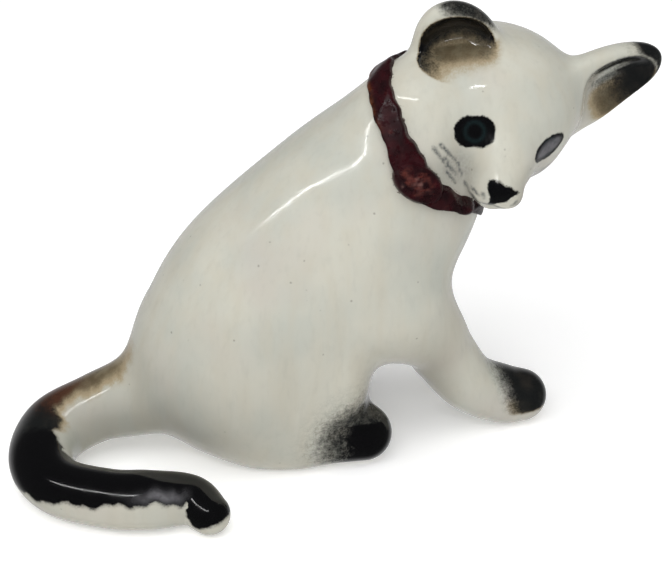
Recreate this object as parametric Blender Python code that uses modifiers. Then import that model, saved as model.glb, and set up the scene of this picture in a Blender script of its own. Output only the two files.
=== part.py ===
"""Glazed china kitten, sitting with its head turned to its right: a slip-cast figurine.

The body and head are one thin hollow casting that was parted at the neck. The ears, legs,
paws, tail and ribbon were made on their own and stuck on with slip before firing.
Numbers are in millimetres, in the cat's frame: +X is where its chest points, +Y is its left,
+Z is up and Z = 0 is the table. The last step puts the origin under the middle of the whole.
"""
import math

import bmesh
import bpy
import numpy as np
from mathutils import Matrix, Vector

MM = 0.001
NAME = "china_kitten"

# --- casting
WALL = 2.2              # thickness of the hollow casting
GAP = 0.3               # slip line left between neighbouring pieces
VENT_RADIUS = 2.5       # hole in the underside that lets steam out in the kiln
VENT_AT = (-3.0, 0.0)

# --- trunk: stations of (x, y, z, radius) from rump to nape
TRUNK = [(-6, 0, 12.5, 14), (-2, 0, 19, 14), (6.5, 0, 28, 12.7), (11.5, 0, 34.5, 10.4), (14.2, -0.6, 41, 7.4)]
TRUNK_SLIMMING = 1.12   # the trunk is this much narrower than it is deep
HAUNCH_CENTRE = (-3, 5.4, 8.5)
HAUNCH_RADII = (10, 5.7, 9.8)
HAUNCH_TILT = -20

# --- limbs: stations of (x, y, z, radius), from the body to the tip
FORELEG_RIGHT = [(9.5, -5, 20, 6.8), (14.4, -4.4, 14.6, 4.5), (16.6, -3.8, 10.8, 3.9), (19.8, -3.6, 6.2, 3.6),
                 (24, -3.1, 3.5, 3.6), (26.5, -3.2, 3.0, 3.2)]
FORELEG_LEFT = [(11, 5.2, 24, 6), (13.5, 5.2, 15, 4.6), (15.8, 5.2, 9.5, 3.6), (17.8, 5.2, 5.8, 3.2),
                (20.6, 5.2, 3, 3.2)]
HIND_PAW_RIGHT = [(-1, -6.2, 3.8, 4), (3, -6.8, 3.4, 3.6), (6.1, -7.1, 3.2, 3.4)]
TAIL = [(-15, 0, 10.6, 5.1), (-19, 0.4, 7.5, 4.9), (-24.5, 0.8, 5.8, 4.1), (-29.5, 0, 3.9, 4.1),
        (-31.8, -5.2, 3.5, 3.8), (-30.3, -10.2, 3.2, 3.4), (-25, -13.7, 3.2, 3.4), (-20.5, -14.9, 3.2, 3.4),
        (-16, -15.2, 2.7, 2.9), (-14.1, -17.6, 2.2, 2.4)]

# --- head, in its own frame: +X out of the nose, +Y its left, +Z out of the crown
HEAD_CENTRE = (22.7, -0.1, 40.5)
HEAD_YAW, HEAD_PITCH, HEAD_ROLL = -94, 1.5, -20
CRANIUM_CENTRE, CRANIUM_RADII = (-1.7, 0, 1.7), (8.7, 10, 7.8)
SNOUT = [(0.8, 0, -0.3, 6.9), (5.3, 0, -2, 4.8), (9, 0, -3.8, 2.9)]
CHEEK_CENTRE, CHEEK_RADII = (1, 3.9, -1.4), (5, 4, 4.5)
MUZZLE_CENTRE, MUZZLE_RADII = (9.7, 1.3, -4.7), (2, 1.8, 1.6)
CHIN_CENTRE, CHIN_RADII = (8.5, 0, -6), (2, 1.7, 1.4)
NOSE_CENTRE, NOSE_RADII = (11, 0, -3.6), (1.2, 1.4, 1)

# --- ears: foot of the ear in the head's frame, outward lean, forward lean, outer half-sizes
EARS = {"right": ((-1.2, -5.4, 3.8), 31, 20, (3.4, 5, 7.5)),
        "left": ((-0.9, 7.9, 3), 50, -8, (3.4, 4.6, 9.6))}
EAR_TURN = 12
EAR_RISE = 2.5          # centre of the ear above its foot
EAR_CUP_FORWARD = 2.6
EAR_RIM = 1.2

# --- ribbon: a layer laid over the parting line at the neck
NECK_POINT = (14.5, -0.5, 40.2)
NECK_AXIS = (0.76, -0.306, 0.573)
RIBBON_WIDTH = 2.8
RIBBON_THICKNESS = 1.0
BOW_THICKNESS = 1.3
BOW_DROP = 2.3          # middle of the bow below the middle of the collar
THROAT_RADIUS = 9.6
RIGHT_LOOP_ANGLE, KNOT_ANGLE, LEFT_LOOP_ANGLE = 107, 140, 173   # round the neck from the nape
LOOP_RADIUS = 3.0
KNOT_RADIUS = 1.9

# --- fineness of the skins, and about how many triangles each keeps
VOXEL = 0.9
FINE_VOXEL = 0.6
SPAN_STEPS = 4
BALL_SEGMENTS, BALL_RINGS = 24, 14
CASTING_TRIANGLES = 3000
CAVITY_TRIANGLES = 900
GROWN_SHARE = 0.35
TUBE_ROUNDNESS = 6
VENT_SEGMENTS = 20
WELD, SLIVER = 0.02, 0.005   # points closer than this are welded; edges shorter are dissolved
BIG = 160               # side of a cutter that takes a whole half away


def new_collection(name):
    collection = bpy.data.collections.new(name)
    bpy.context.scene.collection.children.link(collection)
    return collection


def clear_scene():
    for obj in list(bpy.data.objects):
        bpy.data.objects.remove(obj, do_unlink=True)


def glaze(name, colour, roughness):
    material = bpy.data.materials.new(name)
    material.use_nodes = True
    shader = material.node_tree.nodes["Principled BSDF"]
    shader.inputs["Base Color"].default_value = (*colour, 1)
    shader.inputs["Roughness"].default_value = roughness
    shader.inputs["Metallic"].default_value = 0
    return material


def place(origin, turn=None, parent=None):
    """A frame at origin (mm), turned by a rotation matrix, inside a parent frame."""
    local = Matrix.Translation(Vector(origin) * MM) @ (turn or Matrix.Identity(4))
    return parent @ local if parent else local


def spin(axis, degrees):
    return Matrix.Rotation(math.radians(degrees), 4, axis)


def head_frame():
    return place(HEAD_CENTRE, spin("Z", HEAD_YAW) @ spin("Y", HEAD_PITCH) @ spin("X", HEAD_ROLL))


def ear_frame(side):
    foot, outward, forward, _ = EARS[side]
    hand = 1 if side == "left" else -1
    turn = spin("X", -hand * outward) @ spin("Z", hand * EAR_TURN) @ spin("Y", forward)
    return place(foot, turn, head_frame())


def mirrored(numbers):
    return (numbers[0], -numbers[1], *numbers[2:])


def smooth_path(stations, steps=SPAN_STEPS):
    """Catmull-Rom points through stations of (x, y, z, radius)."""
    knots = np.array(stations, float)
    knots = np.vstack([2 * knots[0] - knots[1], knots, 2 * knots[-1] - knots[-2]])
    points = []
    for i in range(1, len(knots) - 2):
        before, start, end, after = knots[i - 1:i + 3]
        for t in np.arange(steps) / steps:
            bend = (2 * before - 5 * start + 4 * end - after) * t ** 2
            twist = (3 * start - before - 3 * end + after) * t ** 3
            points.append(0.5 * (2 * start + (end - before) * t + bend + twist))
    points.append(knots[-2])
    return points


def add_ellipsoid(bm, frame, centre, radii, shrink=0.0):
    size = [max(radius - shrink, 0.4) * MM for radius in radii]
    shape = place(centre, None, frame) @ Matrix.Diagonal((*size, 1))
    bmesh.ops.create_uvsphere(bm, u_segments=BALL_SEGMENTS, v_segments=BALL_RINGS, radius=1, matrix=shape)


def add_limb(bm, frame, stations, shrink=0.0):
    """A round limb: a tube whose radius follows the stations, with a ball at each end."""
    path = [(*point[:3], point[3] - shrink) for point in smooth_path(stations)]
    curve = bpy.data.curves.new("limb", "CURVE")
    curve.dimensions = "3D"
    curve.bevel_depth = MM
    curve.bevel_resolution = TUBE_ROUNDNESS
    curve.use_fill_caps = True
    spline = curve.splines.new("POLY")
    spline.points.add(len(path) - 1)
    for point, (x, y, z, radius) in zip(spline.points, path):
        point.co = (x * MM, y * MM, z * MM, 1)
        point.radius = radius
    tube = bpy.data.objects.new("limb", curve)
    bpy.context.scene.collection.objects.link(tube)
    mesh = bpy.data.meshes.new_from_object(tube.evaluated_get(bpy.context.evaluated_depsgraph_get()))
    mesh.transform(frame)
    bm.from_mesh(mesh)
    bpy.data.objects.remove(tube)
    for end in (path[0], path[-1]):
        add_ellipsoid(bm, frame, end[:3], (end[3],) * 3)


def to_object(bm, name):
    mesh = bpy.data.meshes.new(name)
    bmesh.ops.remove_doubles(bm, verts=bm.verts, dist=1e-7)
    bm.to_mesh(mesh)
    bm.free()
    obj = bpy.data.objects.new(name, mesh)
    bpy.context.scene.collection.objects.link(obj)
    return obj


def settle(obj):
    """Replace an object's mesh by what its modifiers make of it."""
    bpy.context.view_layer.update()
    mesh = bpy.data.meshes.new_from_object(obj.evaluated_get(bpy.context.evaluated_depsgraph_get()))
    obj.modifiers.clear()
    obj.data = mesh
    return obj


def skin(bm, name, triangles, voxel=VOXEL, rounds=6):
    """Melt overlapping lumps into one closed skin with soft fillets, of about so many triangles."""
    obj = to_object(bm, name)
    remesh = obj.modifiers.new("One skin", "REMESH")
    remesh.mode = "VOXEL"
    remesh.voxel_size = voxel * MM
    soften = obj.modifiers.new("Fillets", "SMOOTH")
    soften.factor = 0.5
    soften.iterations = rounds
    settle(obj)
    count = sum(len(face.vertices) - 2 for face in obj.data.polygons)
    thin = obj.modifiers.new("Thin out", "DECIMATE")
    thin.ratio = min(1, triangles / count)
    return settle(obj)


def copy_of(obj, name):
    twin = obj.copy()
    twin.data = obj.data.copy()
    twin.name = name
    bpy.context.scene.collection.objects.link(twin)
    return twin


def grown(obj, distance, name):
    """The same skin moved outward all over, without the folds this makes in its creases."""
    twin = copy_of(obj, name)
    push = twin.modifiers.new("Grow", "DISPLACE")
    push.mid_level = 0
    push.strength = distance * MM
    remesh = twin.modifiers.new("Unfold", "REMESH")
    remesh.mode = "VOXEL"
    remesh.voxel_size = VOXEL * MM
    thin = twin.modifiers.new("Thin out", "DECIMATE")
    thin.ratio = GROWN_SHARE
    return settle(twin)


def combine(obj, cutter, operation):
    boolean = obj.modifiers.new(operation.title(), "BOOLEAN")
    boolean.operation = operation
    boolean.solver = "EXACT"
    boolean.object = cutter
    return settle(obj)


def keep_largest(obj):
    """Leave only the biggest separate body of a mesh."""
    bm = bmesh.new()
    bm.from_mesh(obj.data)
    left = set(bm.verts)
    islands = []
    while left:
        stack = [left.pop()]
        island = set(stack)
        while stack:
            for edge in stack.pop().link_edges:
                for vert in edge.verts:
                    if vert in left:
                        left.remove(vert)
                        island.add(vert)
                        stack.append(vert)
        islands.append(island)
    biggest = max(islands, key=len)
    bmesh.ops.delete(bm, geom=[v for v in bm.verts if v not in biggest], context="VERTS")
    bm.to_mesh(obj.data)
    bm.free()
    return obj


def clean(obj):
    """Drop the slivers that a cut leaves."""
    bm = bmesh.new()
    bm.from_mesh(obj.data)
    bmesh.ops.triangulate(bm, faces=bm.faces)
    bmesh.ops.remove_doubles(bm, verts=bm.verts, dist=WELD * MM)
    bmesh.ops.dissolve_degenerate(bm, edges=bm.edges, dist=SLIVER * MM)
    bmesh.ops.triangulate(bm, faces=bm.faces)
    bm.to_mesh(obj.data)
    bm.free()
    return obj


def box(name, centre, size, axis=(0, 0, 1)):
    """A box cutter whose own Z lies along axis."""
    bm = bmesh.new()
    turn = Vector(axis).to_track_quat("Z", "Y").to_matrix().to_4x4()
    sides = Matrix.Diagonal((*[length * MM for length in size], 1))
    bmesh.ops.create_cube(bm, size=1, matrix=place(centre, turn) @ sides)
    return to_object(bm, name)


def beyond_neck(name, offset):
    """Everything on the head's side of the parting plane moved by offset along the neck."""
    axis = Vector(NECK_AXIS).normalized()
    centre = Vector(NECK_POINT) + axis * (offset + BIG / 2)
    return box(name, centre, (BIG, BIG, BIG), axis)


def below_table(height=0.0):
    return box("cut_table", (0, 0, height - BIG / 2), (BIG, BIG, BIG))


def ball(name, centre, radius):
    bm = bmesh.new()
    add_ellipsoid(bm, Matrix.Identity(4), centre, (radius,) * 3)
    return to_object(bm, name)


def trunk_lumps(bm, shrink=0.0):
    slim = Matrix.Diagonal((1, 1 / TRUNK_SLIMMING, 1, 1))
    add_limb(bm, slim, TRUNK, shrink)
    tilt = spin("Y", HAUNCH_TILT)
    for centre in (HAUNCH_CENTRE, mirrored(HAUNCH_CENTRE)):
        add_ellipsoid(bm, place(centre, tilt), (0, 0, 0), HAUNCH_RADII, shrink)


def head_lumps(bm, shrink=0.0):
    frame = head_frame()
    add_ellipsoid(bm, frame, CRANIUM_CENTRE, CRANIUM_RADII, shrink)
    for centre in (CHEEK_CENTRE, mirrored(CHEEK_CENTRE)):
        add_ellipsoid(bm, frame, centre, CHEEK_RADII, shrink)
    if shrink:
        add_limb(bm, frame, SNOUT[:2], shrink)
        return
    add_limb(bm, frame, SNOUT)
    for centre in (MUZZLE_CENTRE, mirrored(MUZZLE_CENTRE)):
        add_ellipsoid(bm, frame, centre, MUZZLE_RADII)
    add_ellipsoid(bm, frame, CHIN_CENTRE, CHIN_RADII)
    add_ellipsoid(bm, frame, NOSE_CENTRE, NOSE_RADII)


def casting_skin():
    bm = bmesh.new()
    trunk_lumps(bm)
    head_lumps(bm)
    return skin(bm, "guide_casting", CASTING_TRIANGLES)


def cavity_skin():
    bm = bmesh.new()
    trunk_lumps(bm, WALL)
    head_lumps(bm, WALL)
    cavity = skin(bm, "cut_cavity", CAVITY_TRIANGLES)
    return combine(cavity, below_table(WALL), "DIFFERENCE")


def make_body(casting, cavity):
    """Trunk and haunches: hollow, open at the neck, with a flat ground foot and a vent."""
    body = copy_of(casting, "body")
    combine(body, below_table(), "DIFFERENCE")
    combine(body, beyond_neck("cut_neck_body", -GAP / 2), "DIFFERENCE")
    combine(body, cavity, "DIFFERENCE")
    bm = bmesh.new()
    at = place((*VENT_AT, WALL / 2))
    bmesh.ops.create_cone(bm, cap_ends=True, segments=VENT_SEGMENTS, radius1=VENT_RADIUS * MM,
                          radius2=VENT_RADIUS * MM, depth=3 * WALL * MM, matrix=at)
    combine(body, to_object(bm, "cut_vent"), "DIFFERENCE")
    return keep_largest(body)


def make_head(casting, cavity):
    """Head with its snout: hollow, open at the neck."""
    head = copy_of(casting, "head")
    combine(head, beyond_neck("cut_neck_head", GAP / 2), "INTERSECT")
    combine(head, cavity, "DIFFERENCE")
    return keep_largest(head)


def make_ear(side, clearance):
    """A cupped ear, open to the front, with a rounded rim and a curved foot on the head."""
    radii = EARS[side][3]
    frame = ear_frame(side)
    bm = bmesh.new()
    add_ellipsoid(bm, frame, (0, 0, EAR_RISE), radii)
    ear = to_object(bm, f"ear_{side}")
    bm = bmesh.new()
    cup = (EARS[side][3][0], radii[1] - EAR_RIM, radii[2] - EAR_RIM)
    add_ellipsoid(bm, frame, (EAR_CUP_FORWARD, 0, EAR_RISE), cup)
    combine(ear, to_object(bm, f"cut_ear_cup_{side}"), "DIFFERENCE")
    combine(ear, clearance, "DIFFERENCE")
    return keep_largest(ear)


def make_limb(name, stations, triangles, clearance):
    """A leg, paw or tail: a round limb, flat where it stands, with a curved joint on the body."""
    bm = bmesh.new()
    add_limb(bm, Matrix.Identity(4), stations)
    limb = skin(bm, name, triangles, voxel=FINE_VOXEL, rounds=3)
    combine(limb, below_table(), "DIFFERENCE")
    combine(limb, clearance, "DIFFERENCE")
    return keep_largest(limb)


def part_forelegs(right, left):
    """A slip line down the middle of the chest, where the two forelegs would touch."""
    for leg, hand in ((right, -1), (left, 1)):
        other_side = box("cut_midline", (0, (GAP - BIG) / 2 * hand, 0), (BIG, BIG, BIG))
        combine(leg, other_side, "DIFFERENCE")
        keep_largest(leg)


def ribbon_layer(casting, clearance, thickness, outline, name):
    """The part inside outline of a layer that lies over the casting, a slip line clear of it."""
    layer = grown(casting, GAP + thickness, name)
    combine(layer, outline, "INTERSECT")
    return combine(layer, clearance, "DIFFERENCE")


def round_neck(casting, angle):
    """The point of the skin just below the collar, at an angle from the nape towards the cat's right."""
    axis = Vector(NECK_AXIS).normalized()
    nape = (Vector((0, 0, 1)) - axis * axis.z).normalized()
    right = axis.cross(nape)
    spoke = nape * math.cos(math.radians(angle)) + right * math.sin(math.radians(angle))
    beside = Vector(NECK_POINT) + spoke * THROAT_RADIUS - axis * BOW_DROP
    _, on_skin, _, _ = casting.closest_point_on_mesh(beside * MM)
    return on_skin / MM


def make_ribbon(casting, clearance):
    """The collar over the parting line, and a bow of two flat loops and a knot at the throat."""
    width = box("cut_band", NECK_POINT, (BIG, BIG, RIBBON_WIDTH), NECK_AXIS)
    band = keep_largest(ribbon_layer(casting, clearance, RIBBON_THICKNESS, width, "collar_band"))
    room = (BIG, BIG, RIBBON_WIDTH + 2 * GAP)
    shapes = {"bow_knot": (KNOT_ANGLE, KNOT_RADIUS), "bow_loop_right": (RIGHT_LOOP_ANGLE, LOOP_RADIUS),
              "bow_loop_left": (LEFT_LOOP_ANGLE, LOOP_RADIUS)}
    pieces = []
    for name, (angle, radius) in shapes.items():
        outline = ball(f"cut_{name}", round_neck(casting, angle), radius)
        piece = ribbon_layer(casting, clearance, BOW_THICKNESS, outline, name)
        combine(piece, box("cut_beside_band", NECK_POINT, room, NECK_AXIS), "DIFFERENCE")
        if name != "bow_knot":
            around_knot = ball("cut_around_knot", round_neck(casting, KNOT_ANGLE), KNOT_RADIUS + GAP)
            combine(piece, around_knot, "DIFFERENCE")
        pieces.append(keep_largest(piece))
    return [band, *pieces]


def centre_on_footprint(parts):
    """Put the origin at table height under the middle of the whole."""
    corners = [obj.matrix_world @ Vector(corner) for obj in parts for corner in obj.bound_box]
    low = [min(corner[i] for corner in corners) for i in range(3)]
    high = [max(corner[i] for corner in corners) for i in range(3)]
    shift = Vector((-(low[0] + high[0]) / 2, -(low[1] + high[1]) / 2, -low[2]))
    for obj in parts:
        obj.data.transform(Matrix.Translation(shift))


def finish(parts, materials):
    figure = new_collection(NAME)
    cutters = new_collection("cutters")
    for obj in list(bpy.data.objects):
        home = figure if obj in parts else cutters
        for collection in list(obj.users_collection):
            collection.objects.unlink(obj)
        home.objects.link(obj)
        if obj not in parts:
            obj.hide_render = True
            obj.display_type = "WIRE"
    for obj in parts:
        clean(obj)
        obj.data.materials.clear()
        obj.data.materials.append(materials[obj.name])
        obj.data.shade_smooth()
        obj.data.set_sharp_from_angle(angle=math.radians(40))


def build():
    clear_scene()
    casting = casting_skin()
    cavity = cavity_skin()
    clearance = grown(casting, GAP, "cut_clearance")
    body = make_body(casting, cavity)
    head = make_head(casting, cavity)
    ears = [make_ear(side, clearance) for side in EARS]
    right_leg = make_limb("foreleg_right", FORELEG_RIGHT, 800, clearance)
    left_leg = make_limb("foreleg_left", FORELEG_LEFT, 700, clearance)
    part_forelegs(right_leg, left_leg)
    left_paw = [mirrored(station) for station in HIND_PAW_RIGHT]
    paws = [make_limb("hind_paw_right", HIND_PAW_RIGHT, 360, clearance),
            make_limb("hind_paw_left", left_paw, 360, clearance)]
    tail = make_limb("tail", TAIL, 1000, clearance)
    ribbon = make_ribbon(casting, clearance)
    white = glaze("white_glaze", (0.78, 0.78, 0.72), 0.12)
    ink = glaze("dark_point_glaze", (0.03, 0.03, 0.035), 0.15)
    maroon = glaze("ribbon_enamel", (0.12, 0.03, 0.04), 0.35)
    materials = {obj.name: white for obj in (body, head, right_leg, left_leg)}
    materials.update({obj.name: ink for obj in (*ears, *paws, tail)})
    materials.update({obj.name: maroon for obj in ribbon})
    parts = [body, head, *ears, right_leg, left_leg, *paws, tail, *ribbon]
    finish(parts, materials)
    centre_on_footprint(parts)


build()
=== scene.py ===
"""Looks of the glazed china kitten that sits with its head turned to its right.

The figure is modelled as one smooth distance field, the way soft clay blends, and is then
parted into the pieces it is built from. Shape numbers are in millimetres in the cat's own
frame (+X where its chest points, +Y its left, +Z up, Z = 0 the table).
"""
from functools import partial
from math import cos, radians, sin

import bpy
import numpy as np
from mathutils import Matrix, Vector


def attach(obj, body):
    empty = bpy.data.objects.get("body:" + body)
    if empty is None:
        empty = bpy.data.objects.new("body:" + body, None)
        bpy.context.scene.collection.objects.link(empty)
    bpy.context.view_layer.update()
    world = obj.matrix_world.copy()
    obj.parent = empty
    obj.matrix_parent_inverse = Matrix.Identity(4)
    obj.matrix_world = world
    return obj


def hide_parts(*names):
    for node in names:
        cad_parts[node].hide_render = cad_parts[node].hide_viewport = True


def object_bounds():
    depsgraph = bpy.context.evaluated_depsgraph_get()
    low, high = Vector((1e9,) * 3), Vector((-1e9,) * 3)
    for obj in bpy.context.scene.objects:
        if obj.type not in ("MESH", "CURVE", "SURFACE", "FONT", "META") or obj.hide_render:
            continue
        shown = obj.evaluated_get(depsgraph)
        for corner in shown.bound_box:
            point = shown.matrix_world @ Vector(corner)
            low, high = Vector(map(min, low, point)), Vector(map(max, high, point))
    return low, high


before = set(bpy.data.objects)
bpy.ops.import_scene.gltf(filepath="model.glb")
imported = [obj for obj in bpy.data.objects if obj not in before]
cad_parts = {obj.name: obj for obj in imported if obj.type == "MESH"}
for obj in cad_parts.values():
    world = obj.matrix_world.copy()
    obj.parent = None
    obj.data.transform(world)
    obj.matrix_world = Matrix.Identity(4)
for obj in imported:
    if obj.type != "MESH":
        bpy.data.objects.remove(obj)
CAD_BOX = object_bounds()
MM = 0.001

# ---------------------------------------------------------------- shape of the kitten
TRUNK = [(-6, 0, 12.5, 14), (-2, 0, 19, 14), (6.5, 0, 28, 12.7), (11.5, 0, 34.5, 10.4), (14.2, -0.6, 41, 7.4)]
TRUNK_SLIMMING = 1.12
HAUNCH_CENTRE, HAUNCH_RADII, HAUNCH_TILT = (-3, 5.4, 8.5), (10, 5.7, 9.8), -20
KNEE_CENTRE, KNEE_RADII = (3.0, 8.3, 12.0), (3.2, 2.9, 6.0)
FORELEG_RIGHT = [(9.5, -5, 20, 6.8), (14.4, -4.4, 14.6, 4.5), (16.6, -3.8, 10.8, 3.9), (19.8, -3.6, 6.2, 3.6),
                 (24, -3.1, 3.5, 3.6), (26.5, -3.2, 3.0, 3.2)]
FORELEG_LEFT = [(11, 5.2, 24, 6), (13.5, 5.2, 15, 4.6), (15.8, 5.2, 9.5, 3.6), (17.8, 5.2, 5.8, 3.2),
                (20.6, 5.2, 3, 3.2)]
HIND_PAW = [(-1, -6.2, 3.8, 4), (3, -6.8, 3.4, 3.6), (6.1, -7.1, 3.2, 3.4)]
TAIL = [(-15, 0, 10.6, 5.1), (-19, 0.4, 7.5, 4.9), (-24.5, 0.8, 5.8, 4.1), (-29.5, 0, 3.9, 4.1),
        (-31.8, -5.2, 3.5, 3.8), (-30.3, -10.2, 3.2, 3.4), (-25, -13.7, 3.2, 3.4), (-20.5, -14.9, 3.2, 3.4),
        (-16, -15.2, 2.7, 2.9), (-14.1, -17.6, 2.2, 2.4)]

# head, in its own frame: +X out of the nose, +Y its left, +Z out of the crown
HEAD_CENTRE, HEAD_TURN = (22.7, -0.1, 40.5), (-94, 1.5, -20)
CRANIUM_CENTRE, CRANIUM_RADII = (-1.7, 0, 1.7), (8.7, 10, 7.8)
SNOUT = [(0.8, 0, -0.3, 6.9), (5.3, 0, -2, 4.8), (9, 0, -3.8, 2.9)]
CHEEK_CENTRE, CHEEK_RADII = (1, 3.9, -1.4), (5, 4, 4.5)
MUZZLE_CENTRE, MUZZLE_RADII = (9.7, 1.3, -4.7), (2, 1.8, 1.6)
CHIN_CENTRE, CHIN_RADII = (8.5, 0, -6), (2, 1.7, 1.4)
NOSE_CENTRE, NOSE_RADII = (11, 0, -3.6), (1.2, 1.4, 1)

# ears: foot in the head's frame, outward lean, forward lean, outer half-sizes, cup's middle and half-sizes
EARS = {"right": ((-1.2, -5.4, 3.8), 31, 14, (3.2, 5, 7.1), (2.4, 0.2, 4.6), (3.4, 4.3, 4.0)),
        "left": ((-0.9, 7.9, 3), 49, -8, (3.4, 4.6, 9.8), (2.4, 0.8, 5.6), (3.3, 4.3, 6.0))}
EAR_TURN, EAR_RISE, EAR_FRONT = 12, 2.5, 0.9

# ribbon over the parting line at the neck
NECK_POINT, NECK_AXIS = (14.5, -0.5, 40.2), (0.76, -0.306, 0.573)

VENT_AT, VENT_RADIUS, VENT_DEPTH = (-3.0, 0.0), 2.5, 7.0


# ---------------------------------------------------------------- distance-field tools
def smooth_min(a, b, k):
    """The nearer of two distances, with a fillet about k mm wide where they meet."""
    near = np.maximum(k - np.abs(a - b), 0.0) / k
    return np.minimum(a, b) - near ** 3 * k / 6


def smooth_max(a, b, k):
    return -smooth_min(-a, -b, k)


def turn(axis, degrees):
    """A rotation matrix about one axis."""
    return np.array(Matrix.Rotation(radians(degrees), 3, axis))


class Place:
    """A frame of its own inside another: where it starts and which way its axes point."""

    def __init__(self, origin, axes, parent=None):
        self.origin, self.axes = np.array(origin, float), axes
        if parent:
            self.origin, self.axes = parent.out(self.origin), parent.axes @ axes

    def into(self, points):
        return (points - self.origin) @ self.axes

    def out(self, points):
        return np.asarray(points, float) @ self.axes.T + self.origin


def ellipsoid(p, centre, radii, tilt=None):
    """About the distance to an ellipsoid, or to an ellipse where the points are flat."""
    q = p - np.array(centre, float)
    if tilt is not None:
        q = q @ tilt
    radii = np.array(radii, float)
    k0 = np.linalg.norm(q / radii, axis=-1)
    k1 = np.linalg.norm(q / radii ** 2, axis=-1)
    return k0 * (k0 - 1) / np.maximum(k1, 1e-9)


class Path:
    """A smooth Catmull-Rom curve through stations of (x, y, z, radius)."""

    def __init__(self, stations):
        knots = np.array(stations, float)
        knots = np.vstack([2 * knots[0] - knots[1], knots, 2 * knots[-1] - knots[-2]])
        before, start, end, after = knots[:-3], knots[1:-2], knots[2:-1], knots[3:]
        self.powers = 0.5 * np.stack([2 * start, end - before, 2 * before - 5 * start + 4 * end - after,
                                      3 * start - before - 3 * end + after], 1)
        self.spans = len(self.powers)
        self.low = knots[:, :3].min(0) - knots[:, 3].max()
        self.high = knots[:, :3].max(0) + knots[:, 3].max()

    def at(self, t):
        """Points and radii at places t along the path, 0 to the number of spans."""
        span = np.clip(np.floor(t).astype(int), 0, self.spans - 1)
        u = (t - span)[:, None]
        c = self.powers[span]
        return ((c[:, 3] * u + c[:, 2]) * u + c[:, 1]) * u + c[:, 0]

    def gap(self, p, t):
        """Distance from points to the balls at places t."""
        here = self.at(t)
        return np.linalg.norm(p - here[:, :3], axis=1) - here[:, 3]

    def nearest(self, p, steps=4):
        """Place on the path whose ball lies closest to each point, and the gap to that ball."""
        best, place = np.full(len(p), 1e9), np.zeros(len(p))
        for t in np.linspace(0, self.spans, self.spans * steps + 1):
            ball = self.at(np.array([t]))[0]
            gap = np.linalg.norm(p - ball[:3], axis=1) - ball[3]
            place = np.where(gap < best, t, place)
            best = np.minimum(gap, best)
        reach = 1 / steps
        for _ in range(3):
            before, here, after = (self.gap(p, np.clip(place + d, 0, self.spans)) for d in (-reach, 0, reach))
            bend = np.maximum(before - 2 * here + after, 1e-9)
            place = np.clip(place + reach * np.clip((before - after) / (2 * bend), -1, 1), 0, self.spans)
            reach *= 0.35
        return place, self.gap(p, place)


FAR = 6.0


def limb(p, path, slimming=1.0):
    """Distance to a tube round a path; slimming narrows it along Y. Far points get a rough answer."""
    q = p * np.array((1, slimming, 1))
    low, high = path.low - FAR, path.high + FAR
    out = np.maximum(np.maximum(low - q, q - high).max(1), 0) + FAR
    near = ((q > low) & (q < high)).all(1)
    out[near] = path.nearest(q[near])[1]
    return out / slimming


# ---------------------------------------------------------------- the kitten as a field
def mirrored(numbers):
    return (numbers[0], -numbers[1], *numbers[2:])


TRUNK_PATH, SNOUT_PATH, TAIL_PATH = Path(TRUNK), Path(SNOUT), Path(TAIL)
LIMBS = {"tail": TAIL_PATH, "foreleg_right": Path(FORELEG_RIGHT), "foreleg_left": Path(FORELEG_LEFT),
         "hind_paw_right": Path(HIND_PAW), "hind_paw_left": Path([mirrored(station) for station in HIND_PAW])}
# how softly each limb melts into the rest, in mm
LIMB_BLENDS = {"foreleg_right": 4.2, "foreleg_left": 4.2,
               "hind_paw_right": 2.8, "hind_paw_left": 2.8, "tail": 4.0}
HAUNCH_BLEND, HEAD_BLEND, EAR_BLEND = 2.5, 2.5, 3.2
SNOUT_BLEND, CHIN_BLEND, NOSE_BLEND = 3.0, 1.2, 1.0
EAR_EDGE_ROUNDING, CUP_ROUNDING, VENT_ROUNDING, FOOT_ROUNDING = 1.2, 0.9, 0.5, 0.6

HEAD = Place(HEAD_CENTRE, turn("Z", HEAD_TURN[0]) @ turn("Y", HEAD_TURN[1]) @ turn("X", HEAD_TURN[2]))


def ear_place(side):
    foot, outward, forward = EARS[side][:3]
    hand = 1 if side == "left" else -1
    return Place(foot, turn("X", -hand * outward) @ turn("Z", hand * EAR_TURN) @ turn("Y", forward), HEAD)


EAR_PLACES = {side: ear_place(side) for side in EARS}


def trunk_field(p):
    d = limb(p, TRUNK_PATH, TRUNK_SLIMMING)
    for centre in (HAUNCH_CENTRE, mirrored(HAUNCH_CENTRE)):
        d = smooth_min(d, ellipsoid(p, centre, HAUNCH_RADII, turn("Y", HAUNCH_TILT)), HAUNCH_BLEND)
    for centre in (KNEE_CENTRE, mirrored(KNEE_CENTRE)):
        d = smooth_min(d, ellipsoid(p, centre, KNEE_RADII), HAUNCH_BLEND)
    return d


def head_field(p):
    q = HEAD.into(p)
    d = ellipsoid(q, CRANIUM_CENTRE, CRANIUM_RADII)
    d = smooth_min(d, limb(q, SNOUT_PATH), SNOUT_BLEND)
    for flip in (tuple, mirrored):
        d = smooth_min(d, ellipsoid(q, flip(CHEEK_CENTRE), CHEEK_RADII), SNOUT_BLEND)
        d = smooth_min(d, ellipsoid(q, flip(MUZZLE_CENTRE), MUZZLE_RADII), CHIN_BLEND)
    d = smooth_min(d, ellipsoid(q, CHIN_CENTRE, CHIN_RADII), CHIN_BLEND)
    return smooth_min(d, ellipsoid(q, NOSE_CENTRE, NOSE_RADII), NOSE_BLEND)


def ear_cup_field(p, side):
    return ellipsoid(EAR_PLACES[side].into(p), EARS[side][4], EARS[side][5])


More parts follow.
